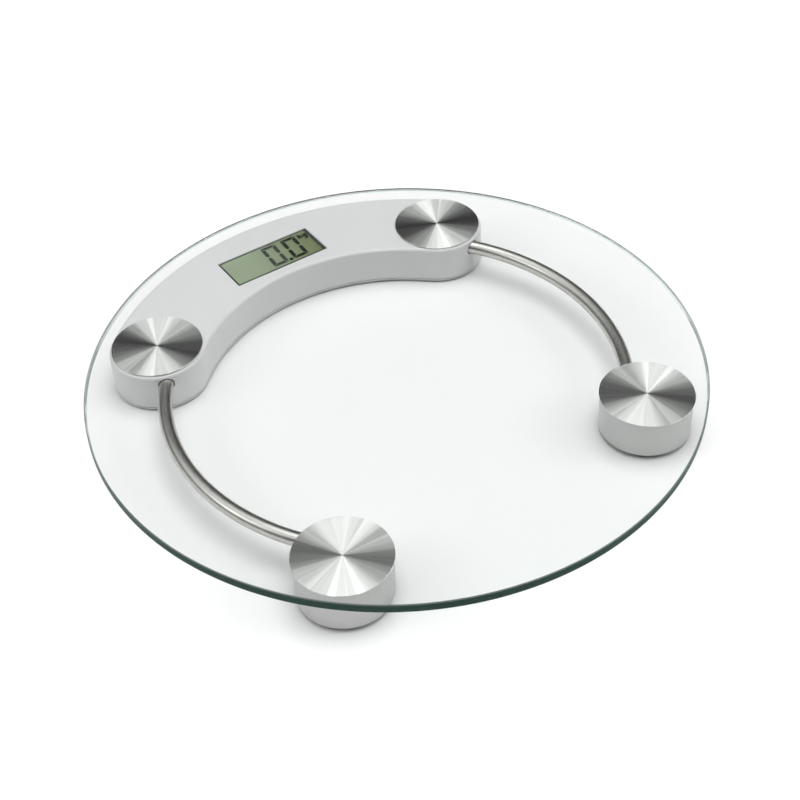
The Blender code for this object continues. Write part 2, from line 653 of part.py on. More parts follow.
def make_battery():
    """A coin cell and its two sprung contacts, whose legs reach the board."""
    rim = 0.4 * MM
    cap = COIN_RADIUS - 1.6 * MM
    coin = [(0, COIN_TOP), (cap, COIN_TOP), (cap, COIN_TOP - rim),
            (COIN_RADIUS, COIN_TOP - rim - 0.3 * MM), (COIN_RADIUS, COIN_BOTTOM + rim),
            (COIN_RADIUS - rim, COIN_BOTTOM), (0, COIN_BOTTOM)]
    keep(turned("coin_cell", coin, 24, Vector((COIN_X, COIN_Y, 0))), STEEL)
    leg_top = BOARD_BOTTOM - GAP
    side = COIN_X - COIN_RADIUS - GAP - CONTACT
    keep(box("contact_positive", (side, COIN_Y - CONTACT_HALF, COIN_BOTTOM + rim),
             (side + CONTACT, COIN_Y + CONTACT_HALF, leg_top)), STEEL)
    leg = COIN_RADIUS + LEG_OFFSET
    low = COIN_TOP + GAP
    section = [(-LEAF_REACH, low), (leg + CONTACT, low), (leg + CONTACT, leg_top), (leg, leg_top),
               (leg, low + CONTACT), (-LEAF_REACH, low + CONTACT)]
    leaf = prism("contact_negative", [[Vector((y, z, 0)) for y, z in section]], -LEAF_HALF, LEAF_HALF)
    leaf.data.transform(UPRIGHT)
    leaf.location = (COIN_X, COIN_Y, 0.0)
    keep(leaf, STEEL)


def make_battery_door():
    """A flat door with a barrel edge and two pegs on its hinge line. Its origin is on that line."""
    radius = DOOR_THICKNESS / 2
    length = 2 * DOOR_HALF_Y - radius
    barrel = [(radius * math.cos(math.radians(a)), radius * math.sin(math.radians(a)))
              for a in range(-90, 91, 20)]
    section = barrel + [(-length, radius), (-length, -radius)]
    door = prism("battery_door", [[Vector((y, z, 0)) for y, z in section]], -DOOR_HALF_X, DOOR_HALF_X)
    door.data.transform(UPRIGHT)
    door.location = (COIN_X, DOOR_AXIS_Y, DOOR_AXIS_Z)
    pegs = bmesh.new()
    for side in (-1, 1):
        near = COIN_X + side * (DOOR_HALF_X - PEG_REACH)
        far = COIN_X + side * (DOOR_HALF_X + PEG_REACH)
        add_post(pegs, (DOOR_AXIS_Y, DOOR_AXIS_Z), PEG_RADIUS, min(near, far), max(near, far), 8, "X")
    combine(door, link_mesh("door_pegs", pegs), "UNION")
    grip = bmesh.new()
    free_edge = DOOR_AXIS_Y - length
    for i in range(4):
        y = free_edge + 3.0 * MM + i * GRIP_STEP
        add_box(grip, (COIN_X - GRIP_HALF, y, 0.0),
                (COIN_X + GRIP_HALF, y + GRIP_STEP / 2, DOOR_BOTTOM + GRIP_DEPTH))
    combine(door, link_mesh("door_grip", grip), "DIFFERENCE")
    keep(door, WHITE_PLASTIC)


def make_unit_button():
    """The button in the base, and the board's push switch that it works."""
    centre = Vector((BUTTON_X, BUTTON_Y, 0))
    flange = BASE_TOP + GAP
    cut = 0.4 * MM
    cap = [(0, BUTTON_TOP), (BUTTON_STEM, BUTTON_TOP), (BUTTON_STEM, flange + MM),
           (BUTTON_FLANGE, flange + MM), (BUTTON_FLANGE, flange), (BUTTON_RADIUS, flange),
           (BUTTON_RADIUS, BUTTON_BOTTOM + cut), (BUTTON_RADIUS - cut, BUTTON_BOTTOM), (0, BUTTON_BOTTOM)]
    keep(turned("unit_button", cap, 20, centre), SILVER_PLASTIC)
    body = box("unit_switch", (BUTTON_X - SWITCH_HALF, BUTTON_Y - SWITCH_HALF, SWITCH_BOTTOM),
               (BUTTON_X + SWITCH_HALF, BUTTON_Y + SWITCH_HALF, BOARD_BOTTOM - GAP))
    bore = bmesh.new()
    add_post(bore, centre, PLUNGER_RADIUS + 0.4 * MM, SWITCH_BOTTOM - MM, SWITCH_BOTTOM + 2.4 * MM, 16)
    combine(body, link_mesh("switch_bore", bore), "DIFFERENCE")
    keep(body, BLACK_PLASTIC)
    low = BUTTON_TOP + GAP
    high = low + PLUNGER_LENGTH
    cut = 0.2 * MM
    plunger = [(0, high), (PLUNGER_RADIUS, high), (PLUNGER_RADIUS, low + cut), (PLUNGER_RADIUS - cut, low),
               (0, low)]
    keep(turned("switch_plunger", plunger, 16, centre), BLACK_PLASTIC)


def make_wires():
    """Each cell's wires, gathered in one sleeve: the front ones run through the tubes."""
    h = TUBE_HEIGHT / MM
    front = [(126.0, 224.2, 15.7), (125.2, 222.0, 16.4), (124.2, 219.8, 17.1), (123.8, 217.5, h)]
    front += [(123.7, degrees, h) for degrees in range(212, 144, -7)]
    front += [(122.6, 143.5, h), (118.8, 141.0, h), (115.0, 138.2, h), (113.5, 135.0, h),
              (113.6, 131.0, 17.0), (116.5, 127.0, 16.6), (121.0, 123.0, 16.2)]
    rear = [(126.0, 134.4, 15.7), (125.2, 132.0, 16.4), (124.2, 130.0, 17.0), (124.0, 127.0, 17.0)]
    ends = {
        "front_left": front + [(124.2, 119.0, 15.8), (125.8, 115.0, 15.5), (126.4, 111.5, 15.4),
                               (126.2, 108.3, 15.4)],
        "front_right": front + [(126.9, 119.0, 15.7), (132.2, 115.8, 15.4), (131.6, 113.2, 15.4)],
        "rear_left": rear + [(127.0, 123.0, 16.6), (130.0, 119.0, 16.1), (132.2, 115.0, 15.6),
                             (133.6, 111.0, 15.4), (134.0, 106.9, 15.4)],
        "rear_right": rear + [(129.0, 122.0, 16.5), (135.4, 118.2, 15.8), (139.8, 114.9, 15.4),
                              (139.0, 111.9, 15.4)],
    }
    for corner, stops in ends.items():
        if corner.endswith("right"):
            stops = [(radius, 180 - degrees, z) for radius, degrees, z in stops]
        stops = [(radius * MM, degrees, z * MM) for radius, degrees, z in stops]
        keep(rod("wires_" + corner, smooth_route(stops, WIRE_SPACING), WIRE_RADIUS, 2), WIRE_RED)


def build():
    make_glass()
    for corner, degrees in CORNERS.items():
        make_disc(corner, degrees)
        make_load_cell(corner, degrees)
        make_gauge_potting(corner, degrees)
        make_foot(corner, degrees)
    make_housing_top()
    make_housing_base()
    make_pod("front_left", CORNERS["front_left"], -1)
    make_pod("front_right", CORNERS["front_right"], 1)
    make_tube("left", "rear_left", "front_left", 1)
    make_tube("right", "rear_right", "front_right", -1)
    make_display()
    make_board()
    make_screws()
    make_battery()
    make_battery_door()
    make_unit_button()
    make_wires()


clear_scene()
PARTS = new_collection("bathroom_scale")
TOOLS = new_collection("cutters")
build()
bpy.context.view_layer.update()
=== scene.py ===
"""The looks of a round glass bathroom scale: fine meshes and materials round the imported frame.

Lengths are in metres and the frame is the CAD's own: the origin on the floor under the middle of the glass,
the display on the +Y side.
"""
import math

import bmesh
import bpy
from mathutils import Matrix, Vector


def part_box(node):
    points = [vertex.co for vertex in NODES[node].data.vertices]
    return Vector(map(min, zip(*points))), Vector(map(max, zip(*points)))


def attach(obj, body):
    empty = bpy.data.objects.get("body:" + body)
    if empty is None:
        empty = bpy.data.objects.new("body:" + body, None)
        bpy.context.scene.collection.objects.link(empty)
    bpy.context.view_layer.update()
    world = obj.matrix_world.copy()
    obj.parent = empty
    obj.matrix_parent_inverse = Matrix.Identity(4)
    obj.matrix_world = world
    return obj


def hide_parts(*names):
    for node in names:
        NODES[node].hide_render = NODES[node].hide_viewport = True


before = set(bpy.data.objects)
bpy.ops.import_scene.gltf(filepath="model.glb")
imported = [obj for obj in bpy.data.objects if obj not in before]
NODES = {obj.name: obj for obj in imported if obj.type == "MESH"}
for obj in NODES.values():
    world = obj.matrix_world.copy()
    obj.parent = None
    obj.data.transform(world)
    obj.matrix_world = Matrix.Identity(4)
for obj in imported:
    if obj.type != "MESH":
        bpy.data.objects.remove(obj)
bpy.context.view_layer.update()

MM = 0.001
CORNERS = {"rear_right": 45.0, "rear_left": 135.0, "front_left": 225.0, "front_right": 315.0}


# ---------------------------------------------------------------- sizes read from the frame

def middle_of(node):
    low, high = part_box(node)
    return (low + high) / 2


GLASS_LOW, GLASS_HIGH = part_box("glass_platform")
DISC_LOW, DISC_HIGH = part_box("disc_rear_right")
HOUSING_LOW, HOUSING_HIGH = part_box("housing_top")
BASE_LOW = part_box("housing_base")[0]
TUBE_LOW, TUBE_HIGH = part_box("tube_left")
LENS_LOW, LENS_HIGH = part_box("display_window")
PANEL_LOW, PANEL_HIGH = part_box("display_panel")
POD_LOW, POD_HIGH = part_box("pod_shell_front_left")
BOARD_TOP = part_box("circuit_board")[1].z

CORNER_CIRCLE = middle_of("disc_rear_right").xy.length
BAND = HOUSING_HIGH.y - CORNER_CIRCLE            # half the width of the crescent housing
GAP = 0.3 * MM                                   # left between pieces that touch on the real scale
WALL = 2.0 * MM
CEILING = HOUSING_HIGH.z - WALL
TUBE_RADIUS = (TUBE_HIGH.z - TUBE_LOW.z) / 2
TUBE_CIRCLE = -TUBE_LOW.x - TUBE_RADIUS
TUBE_HEIGHT = (TUBE_HIGH.z + TUBE_LOW.z) / 2
TUBE_WALL = 0.8 * MM
TUBE_HOLE = TUBE_RADIUS + 0.45 * MM
SEAT_OUTER = 16.0 * MM
SEAT_INNER = 13.0 * MM
SEAT_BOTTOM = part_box("load_cell_rear_right")[1].z + GAP
TRAY_TOP = BASE_LOW.z + 2.4 * MM                 # the base's tray, where the shell's bosses stand


# ---------------------------------------------------------------- shapes

def polar(radius, degrees, z=0.0):
    turn = math.radians(degrees)
    return Vector((radius * math.cos(turn), radius * math.sin(turn), z))


def arc(centre, radius, start, end, count):
    """Points on an arc from start to end degrees, both ends included."""
    step = (end - start) / (count - 1)
    return [centre + polar(radius, start + step * i) for i in range(count)]


def filleted(corners, steps=5):
    """An open path through (across, height, radius) corners, in mm, each rounded to its radius."""
    path = []
    for i, (across, height, radius) in enumerate(corners):
        here = Vector((across, height)) * MM
        if not radius:
            path.append(here)
            continue
        before = (Vector(corners[i - 1][:2]) * MM - here).normalized()
        after = (Vector(corners[i + 1][:2]) * MM - here).normalized()
        half = before.angle(after) / 2
        centre = here + (before + after).normalized() * (radius * MM / math.sin(half))
        start = here + before * (radius * MM / math.tan(half)) - centre
        end = here + after * (radius * MM / math.tan(half)) - centre
        sweep = -start.angle_signed(end)
        first = math.atan2(start.y, start.x)
        for k in range(steps + 1):
            turn = first + sweep * k / steps
            path.append(centre + Vector((math.cos(turn), math.sin(turn))) * (radius * MM))
    return path


def lofted(bm, rings, closed=False):
    """Quads between rings of equally many points, with caps at both ends unless the rings close."""
    loops = [[bm.verts.new(point) for point in ring] for ring in rings]
    pairs = list(zip(loops, loops[1:]))
    if closed:
        pairs.append((loops[-1], loops[0]))
    count = len(loops[0])
    for first, second in pairs:
        for i in range(count):
            j = (i + 1) % count
            bm.faces.new((first[i], first[j], second[j], second[i]))
    if not closed:
        bm.faces.new(loops[0][::-1])
        bm.faces.new(loops[-1])


def new_object(name, bm, place=(0.0, 0.0, 0.0)):
    bmesh.ops.recalc_face_normals(bm, faces=bm.faces)
    mesh = bpy.data.meshes.new(name)
    bm.to_mesh(mesh)
    bm.free()
    obj = bpy.data.objects.new(name, mesh)
    obj.location = place
    bpy.context.scene.collection.objects.link(obj)
    return obj


def turned(name, path, segments, place=(0.0, 0.0, 0.0)):
    """A turned solid from a path of (radius, height): flat caps close it where the path starts and ends."""
    bm = bmesh.new()
    rings = [[polar(radius, 360.0 * i / segments, height) for i in range(segments)]
             for radius, height in path]
    lofted(bm, rings)
    return new_object(name, bm, place)


def crescent(inset):
    """Outline of the housing: a band along the corner circle with round ends, inset all round."""
    half = BAND - inset
    first = CORNERS["rear_right"]
    last = CORNERS["rear_left"]
    middle = Vector((0, 0, 0))
    points = arc(middle, CORNER_CIRCLE + half, first, last, 97)
    points += arc(polar(CORNER_CIRCLE, last), half, last, last + 180, 49)[1:]
    points += arc(middle, CORNER_CIRCLE - half, last, first, 81)[1:]
    points += arc(polar(CORNER_CIRCLE, first), half, first + 180, first + 360, 49)[1:-1]
    return points


def raised(point, height):
    return Vector((point.x, point.y, height))


def crescent_solid(name, path):
    """A solid whose section across the housing's edge is a path of (inset, height)."""
    bm = bmesh.new()
    lofted(bm, [[raised(point, height) for point in crescent(inset)] for inset, height in path])
    return new_object(name, bm)


def rounded_plan(low, high, radius, steps=6):
    """A rectangle in plan with round corners."""
    radius = max(radius, 0.01 * MM)
    points = []
    for quarter, (x, y) in enumerate(((high.x - radius, high.y - radius), (low.x + radius, high.y - radius),
                                      (low.x + radius, low.y + radius), (high.x - radius, low.y + radius))):
        points += arc(Vector((x, y, 0)), radius, 90 * quarter, 90 * quarter + 90, steps)
    return points


def add_slab(bm, low, high, corner, edge=0.0):
    """A flat block with round corners in plan and its upper and lower edges eased."""
    part = edge * 0.3
    levels = [(edge, low.z), (part, low.z + part), (0.0, low.z + edge),
              (0.0, high.z - edge), (part, high.z - part), (edge, high.z)]
    if not edge:
        levels = [(0.0, low.z), (0.0, high.z)]
    rings = []
    for inset, height in levels:
        around = Vector((inset, inset, 0))
        plan = rounded_plan(low + around, high - around, corner - inset)
        rings.append([raised(point, height) for point in plan])
    lofted(bm, rings)


def slab(name, low, high, corner, edge=0.0):
    bm = bmesh.new()
    add_slab(bm, low, high, corner, edge)
    return new_object(name, bm)


def post(bm, centre, radius, low, high, segments=48):
    lofted(bm, [[raised(Vector(centre).to_3d() + polar(radius, 360.0 * i / segments), height)
                 for i in range(segments)] for height in (low, high)])


def tube_ring(radius, degrees, facets):
    """A circle round the tubes' centre line, across it at a place given in degrees."""
    turns = [2 * math.pi * k / facets for k in range(facets)]
    return [polar(TUBE_CIRCLE + radius * math.cos(turn), degrees, TUBE_HEIGHT + radius * math.sin(turn))
            for turn in turns]


def spread(start, end, count):
    return [start + (end - start) * i / (count - 1) for i in range(count)]


def bent_rod(bm, radius, start, end, count, facets):
    """A rod that follows the tubes' circle from start to end degrees."""
    lofted(bm, [tube_ring(radius, degrees, facets) for degrees in spread(start, end, count)])


def cut(obj, bm, operation="DIFFERENCE"):
    """Cut the shapes in bm from obj, or join them to it, and keep the result as its mesh."""
    tool = new_object("tool", bm)
    boolean = obj.modifiers.new("Cut", "BOOLEAN")
    boolean.operation = operation
    boolean.solver = "EXACT"
    boolean.object = tool
    bake(obj)
    bpy.data.objects.remove(tool)


def bake(obj):
    depsgraph = bpy.context.evaluated_depsgraph_get()
    mesh = bpy.data.meshes.new_from_object(obj.evaluated_get(depsgraph))
    obj.modifiers.clear()
    obj.data = mesh


def finished(obj, nodes, look, body="root", sharp=35.0):
    """Shade a piece, give it its look, hang it on its body, and hide the frame's pieces it stands in for."""
    obj.data.shade_smooth()
    obj.data.set_sharp_from_angle(angle=math.radians(sharp))
    flat = obj.modifiers.new("Flat faces", "WEIGHTED_NORMAL")
    flat.keep_sharp = True
    flat.weight = 80
    obj.data.materials.clear()
    for material in look if isinstance(look, list) else [look]:
        obj.data.materials.append(material)
    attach(obj, body)
    if nodes:
        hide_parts(*nodes)
    return obj


# ---------------------------------------------------------------- looks

RIM_SHADE_BAND = (2.2 * MM, 3.4 * MM)                  # depths between which the rim's band of painted shade fades out
SPIRALS = {"rear_right": -0.03, "rear_left": 0.045, "front_left": 0.04, "front_right": 0.015}
GLARE_SPAN = (-0.012, 0.034)                      # where the painted glare on the display's film fades from pale to dark
FILM_UNDER_GLARE = (0.385, 0.450, 0.318, 1.0)
FILM_BEYOND_GLARE = (0.175, 0.200, 0.080, 1.0)
MIX_A, MIX_B, MIX_RESULT = 6, 7, 2               # a Mix node's colour sockets


def add_node(tree, kind, inputs=None, **settings):
    """A shader node with its settings, and its inputs set to values or linked from sockets."""
    made = tree.nodes.new(kind)
    for name, value in settings.items():
        setattr(made, name, value)
    for name, value in (inputs or {}).items():
        if isinstance(value, bpy.types.NodeSocket):
            tree.links.new(value, made.inputs[name])
        else:
            made.inputs[name].default_value = value
    return made


class Look:
    """A material with one Principled shader, and short calls to feed it from patterns."""

    def __init__(self, name, colour, roughness, metallic=0.0, **values):
        self.material = bpy.data.materials.new(name)
        self.material.use_nodes = True
        self.tree = self.material.node_tree
        self.shader = self.tree.nodes["Principled BSDF"]
        self.output = self.tree.nodes["Material Output"]
        self.colour = colour
        self.roughness = roughness
        self.put("Base Color", (*colour, 1.0))
        self.put("Roughness", roughness)
        self.put("Metallic", metallic)
        for socket, value in values.items():
            self.put(socket.replace("_", " "), value)
        self.material.diffuse_color = (*colour, 1.0)

    def put(self, socket, value):
        self.shader.inputs[socket].default_value = value

    def feed(self, socket, source):
        self.tree.links.new(source, self.shader.inputs[socket])

    def node(self, kind, inputs=None, **settings):
        return add_node(self.tree, kind, inputs, **settings)

    def math(self, operation, first, second=0.0):
        return self.node("ShaderNodeMath", {0: first, 1: second}, operation=operation).outputs[0]

    def place(self):
        return self.node("ShaderNodeTexCoord").outputs["Object"]

    def stretched(self, scale):
        return self.node("ShaderNodeMapping", {"Vector": self.place(), "Scale": scale}).outputs[0]

    def noise(self, scale, detail=2.0, vector=None):
        inputs = {"Vector": vector or self.place(), "Scale": scale, "Detail": detail}
        return self.node("ShaderNodeTexNoise", inputs).outputs[0]

    def span(self, value, low, high):
        """A 0 to 1 pattern, its middle stretched, brought to low to high."""
        inputs = {"Value": value, "From Min": 0.3, "From Max": 0.7, "To Min": low, "To Max": high}
        return self.node("ShaderNodeMapRange", inputs).outputs[0]

    def tint(self, value, amount, colour=None):
        """Brightness of the base colour follows a pattern, by plus or minus amount."""
        factor = self.span(value, 1.0 - amount, 1.0 + amount)
        base = colour or self.node("ShaderNodeRGB").outputs[0]
        if colour is None:
            base.default_value = (*self.colour, 1.0)
        scaled = self.node("ShaderNodeVectorMath", {0: base, "Scale": factor}, operation="SCALE")
        self.feed("Base Color", scaled.outputs[0])

    def rough(self, value, amount):
        factor = self.span(value, self.roughness - amount, self.roughness + amount)
        self.feed("Roughness", factor)

    def bump(self, value, distance, strength):
        inputs = {"Height": value, "Distance": distance, "Strength": strength}
        self.feed("Normal", self.node("ShaderNodeBump", inputs).outputs[0])

    def matt(self, colour):
        return self.node("ShaderNodeBsdfDiffuse", {"Color": (*colour, 1.0)}).outputs[0]

    def clear(self, tint):
        return self.node("ShaderNodeBsdfTransparent", {"Color": (*tint, 1.0)}).outputs[0]

    def mix(self, share, first, second):
        return self.node("ShaderNodeMixShader", {0: share, 1: first, 2: second}).outputs[0]

    def light_passing(self):
        """1 for rays from a lamp or from a matt surface, which a clear piece lets straight through."""
        path = self.node("ShaderNodeLightPath").outputs
        return self.math("MAXIMUM", path["Is Shadow Ray"], path["Is Diffuse Ray"])

    def let_light_through(self, clear, passing, body=None):
        """The clear piece is lit cleanly, and so is what lies under it."""
        mixed = self.mix(passing, body or self.shader.outputs[0], clear)
        self.tree.links.new(mixed, self.output.inputs["Surface"])

    def let_soft_light_through(self, tint):
        """As above, and rays from a satin surface pass too."""
        path = self.node("ShaderNodeLightPath").outputs
        blurred = self.math("SUBTRACT", 1.0, path["Is Singular Ray"])
        satin = self.math("MULTIPLY", path["Is Glossy Ray"], blurred)
        passing = self.math("MAXIMUM", self.light_passing(), satin)
        self.let_light_through(self.clear(tint), passing)


def clear_glass():
    look = Look("clear_glass", (0.985, 0.995, 0.99), 0.0, IOR=1.52, Transmission_Weight=1.0)
    smears = look.noise(35.0, 4.0)
    look.bump(smears, 0.002 * MM, 0.05)
    look.let_soft_light_through((0.962, 0.972, 0.968))
    return look.material


def glass_rim():
    """The ground and polished edge, where the glass shows its own green.

    Seen through the glass it is half clear, with a band of painted shade near its top for the dark line its
    edge shows.
    """
    look = Look("glass_rim", (0.93, 0.985, 0.96), 0.0, IOR=1.52, Transmission_Weight=1.0)
    grinding = look.noise(900.0, 3.0, look.stretched((1.0, 1.0, 6.0)))
    look.bump(grinding, 0.01 * MM, 0.2)
    green = look.matt((0.022, 0.078, 0.058))
    within = look.node("ShaderNodeNewGeometry").outputs["Backfacing"]
    outside = look.math("SUBTRACT", 1.0, within)
    body = look.mix(look.math("MULTIPLY", outside, 0.66), look.shader.outputs[0], green)
    height = look.node("ShaderNodeSeparateXYZ", {0: look.place()}).outputs["Z"]
    shade_band = look.node("ShaderNodeMapRange", {"Value": height, "From Min": GLASS_HIGH.z - RIM_SHADE_BAND[1],
                                            "From Max": GLASS_HIGH.z - RIM_SHADE_BAND[0]}).outputs[0]
    # Painted shade: a dark matt band near the rim's top, where it is seen through the glass, stands in for
    # the edge's dark line
    dark = look.math("MULTIPLY", look.math("MULTIPLY", shade_band, within), 0.85)
    clear = look.clear((0.80, 0.88, 0.85))
    body = look.mix(look.math("MULTIPLY", within, 0.45), body, clear)
    body = look.mix(dark, body, look.matt((0.09, 0.10, 0.095)))
    look.let_light_through(clear, look.light_passing(), body)
    return look.material


def glass_arris():
    """The narrow ground facet above the edge: matt outside, and clear where it is seen through the glass."""
    look = Look("glass_arris", (0.13, 0.16, 0.15), 0.35, IOR=1.52, Transmission_Weight=0.10)
    look.tint(look.noise(700.0, 3.0), 0.06)
    look.bump(look.noise(2500.0, 2.0), 0.01 * MM, 0.3)
    passing = look.light_passing()
    clear = look.clear((0.85, 0.90, 0.88))
    within = look.node("ShaderNodeNewGeometry").outputs["Backfacing"]
    look.let_light_through(clear, look.math("MAXIMUM", passing, within))
    return look.material


def spun_steel(name, spiral):
    """A face turned on a lathe: fine rings, and painted reflection: bright and dark sectors fanning out from
    the middle, as highlights lie on a turned face.

    The rings run a little inward or outward of true circles, by the spiral in turns.
    """
    look = Look(name, (0.80, 0.80, 0.785), 0.42, 1.0, Anisotropic=0.93, Anisotropic_Rotation=0.25 + spiral)
    tangent = look.node("ShaderNodeTangent", direction_type="RADIAL", axis="Z").outputs[0]
    look.feed("Tangent", tangent)
    flat = look.stretched((1.0, 1.0, 0.0))
    outward = look.node("ShaderNodeVectorMath", {0: flat}, operation="NORMALIZE").outputs[0]
    # Painted reflection: steep sectors and broad streaks by angle brighten and darken the colour in wedges;
    # the finer streaks are grain
    steep = {"Value": look.noise(1.9, 0.0, outward), "From Min": 0.46, "From Max": 0.51}
    painted_wedges = look.node("ShaderNodeMapRange", steep, interpolation_type="SMOOTHSTEP").outputs[0]
    broad = look.math("MULTIPLY", look.noise(2.4, 1.0, outward), 0.4)
    fine = look.math("MULTIPLY", look.noise(11.0, 1.0, outward), 0.35)
    grain_and_sheen = look.math("ADD", broad, fine)
    look.tint(look.math("ADD", grain_and_sheen, look.math("MULTIPLY", painted_wedges, 0.25)), 0.22)
    look.rough(look.noise(3.0, 0.0, outward), 0.03)
    radius = look.node("ShaderNodeVectorMath", {0: flat}, operation="LENGTH").outputs["Value"]
    rings = look.node("ShaderNodeTexNoise", {"W": radius, "Scale": 9000.0, "Detail": 2.0},
                      noise_dimensions="1D").outputs[0]
    look.bump(rings, 0.004 * MM, 0.25)
    return look.material


def tube_steel():
    look = Look("tube_steel", (0.56, 0.55, 0.525), 0.33, 1.0)
    around = look.noise(1200.0, 3.0, look.stretched((0.25, 0.25, 1.0)))
    look.tint(look.noise(60.0, 2.0), 0.04)
    look.rough(around, 0.03)
    look.bump(around, 0.002 * MM, 0.15)
    return look.material


def moulded(name, colour, roughness, grain, depth, variety=0.02):
    """Injection-moulded plastic: an eroded texture, with its grain and depth in mm, and uneven gloss."""
    look = Look(name, colour, roughness)
    texture = look.noise(1.0 / (grain * MM), 3.0)
    look.tint(look.noise(22.0, 4.0), variety)
    look.rough(look.noise(140.0, 3.0), 0.04)
    look.bump(texture, depth * MM, 0.6)
    return look.material


def pearl_silver():
    """Silver paint on plastic: small flakes that catch the light one by one."""
    look = Look("silver_plastic", (0.56, 0.56, 0.555), 0.38, 0.45)
    cells = look.node("ShaderNodeTexVoronoi", {"Vector": look.place(), "Scale": 5200.0})
    look.tint(cells.outputs["Color"], 0.05)
    look.rough(look.noise(160.0, 3.0), 0.04)
    look.bump(look.noise(3800.0, 2.0), 0.006 * MM, 0.4)
    return look.material


def lcd_face():
    """The reflector behind the liquid crystal, seen through its polarising film, with a painted glare
    reflection paling its left side.
    """
    look = Look("lcd_face", (0.300, 0.345, 0.255), 0.22, Coat_Weight=0.6, Coat_Roughness=0.06)
    # Painted reflection: the film is paler on the left, where a glare lies, and darker to the right
    across = look.node("ShaderNodeSeparateXYZ", {0: look.place()}).outputs["X"]
    inputs = {"Value": across, "From Min": GLARE_SPAN[0], "From Max": GLARE_SPAN[1]}
    share = look.node("ShaderNodeMapRange", inputs).outputs[0]
    glare_film = look.node("ShaderNodeMix", {"Factor": share, MIX_A: FILM_UNDER_GLARE, MIX_B: FILM_BEYOND_GLARE}, data_type="RGBA")
    cloudy = look.math("MULTIPLY", look.noise(28.0, 2.0), 0.8)
    grainy = look.math("MULTIPLY", look.noise(4500.0, 2.0), 0.2)
    look.tint(look.math("ADD", cloudy, grainy), 0.05, glare_film.outputs[MIX_RESULT])
    look.bump(look.noise(2600.0, 2.0), 0.004 * MM, 0.3)
    return look.material


def lcd_ink(name, colour):
    look = Look(name, colour, 0.6, Specular_IOR_Level=0.15)
    look.tint(look.noise(900.0, 2.0), 0.12)
    return look.material


def clear_plastic():
    look = Look("display_window", (0.97, 0.985, 0.975), 0.0, IOR=1.49, Transmission_Weight=1.0)
    look.bump(look.noise(120.0, 3.0), 0.002 * MM, 0.05)
    look.let_soft_light_through((0.975, 0.98, 0.978))
    return look.material


def rubber():
    look = Look("foot_rubber", (0.055, 0.055, 0.057), 0.80)
    look.tint(look.noise(300.0, 4.0), 0.15)
    look.rough(look.noise(900.0, 3.0), 0.08)
    look.bump(look.noise(2200.0, 4.0), 0.03 * MM, 0.7)
    return look.material


def worked_metal(name, colour, roughness, scale, stretch=(1.0, 1.0, 1.0), depth=0.006):
    """Rolled, stamped or plated metal with fine directional marks."""
    look = Look(name, colour, roughness, 1.0)
    marks = look.noise(scale, 4.0, look.stretched(stretch))
    look.tint(look.noise(90.0, 3.0), 0.07)
    look.rough(marks, 0.08)
    look.bump(marks, depth * MM, 0.5)
    return look.material


def laminate():
    """A green board: solder mask over copper lands, and the glass cloth's faint weave."""
    look = Look("board_laminate", (0.02, 0.16, 0.06), 0.38)
    inputs = {"Vector": look.place(), "Color1": (0.02, 0.16, 0.06, 1), "Color2": (0.025, 0.19, 0.075, 1),
              "Mortar": (0.05, 0.30, 0.12, 1), "Scale": 220.0, "Mortar Size": 0.03, "Brick Width": 1.4}
    tracks = look.node("ShaderNodeTexBrick", inputs)
    look.tint(look.noise(700.0, 2.0), 0.10, tracks.outputs["Color"])
    look.bump(tracks.outputs["Fac"], 0.03 * MM, 0.5)
    return look.material


LOOKS = {
    "clear_glass": clear_glass(),
    "glass_rim": glass_rim(),
    "glass_arris": glass_arris(),
    "tube_steel": tube_steel(),
    "white_plastic": moulded("white_plastic", (0.705, 0.700, 0.708), 0.40, 0.25, 0.005),
    "silver_plastic": pearl_silver(),
    "cell_steel": worked_metal("cell_steel", (0.60, 0.59, 0.57), 0.36, 700.0, (1.0, 0.1, 1.0)),
    "potting_silicone": moulded("potting_silicone", (0.80, 0.80, 0.77), 0.55, 0.8, 0.03, 0.04),
    "foot_plastic": moulded("foot_plastic", (0.045, 0.045, 0.047), 0.48, 0.3, 0.015, 0.10),
    "foot_rubber": rubber(),
    "display_window": clear_plastic(),
    "lcd_face": lcd_face(),
    "lcd_dark": lcd_ink("lcd_dark", (0.003, 0.006, 0.004)),
    # Paler ink for the tens digit: painted reflection of a glare over it
    "lcd_glared_ink": lcd_ink("lcd_glared_ink", (0.042, 0.052, 0.044)),
    "panel_border": moulded("panel_border", (0.03, 0.035, 0.03), 0.35, 0.4, 0.004, 0.1),
    "board_laminate": laminate(),
    "component_black": moulded("component_black", (0.02, 0.02, 0.021), 0.40, 0.2, 0.010, 0.12),
    "coin_cell_can": worked_metal("coin_cell_can", (0.72, 0.71, 0.69), 0.24, 900.0, (1.0, 0.2, 1.0), 0.003),
    "contact_spring": worked_metal("contact_spring", (0.78, 0.74, 0.62), 0.25, 800.0, (0.2, 1.0, 1.0), 0.003),
    "screw_zinc": worked_metal("screw_zinc", (0.62, 0.62, 0.60), 0.34, 1500.0),
    "wire_sleeve": moulded("wire_sleeve", (0.42, 0.04, 0.035), 0.45, 0.5, 0.010, 0.10),
}
LOOKS.update({"spun_" + corner: spun_steel("spun_" + corner, spiral) for corner, spiral in SPIRALS.items()})


# ---------------------------------------------------------------- pieces
# The paths of turned pieces and of the housing's section are lists of (across, height, fillet) in mm,
# and the sizes for them are in mm too.

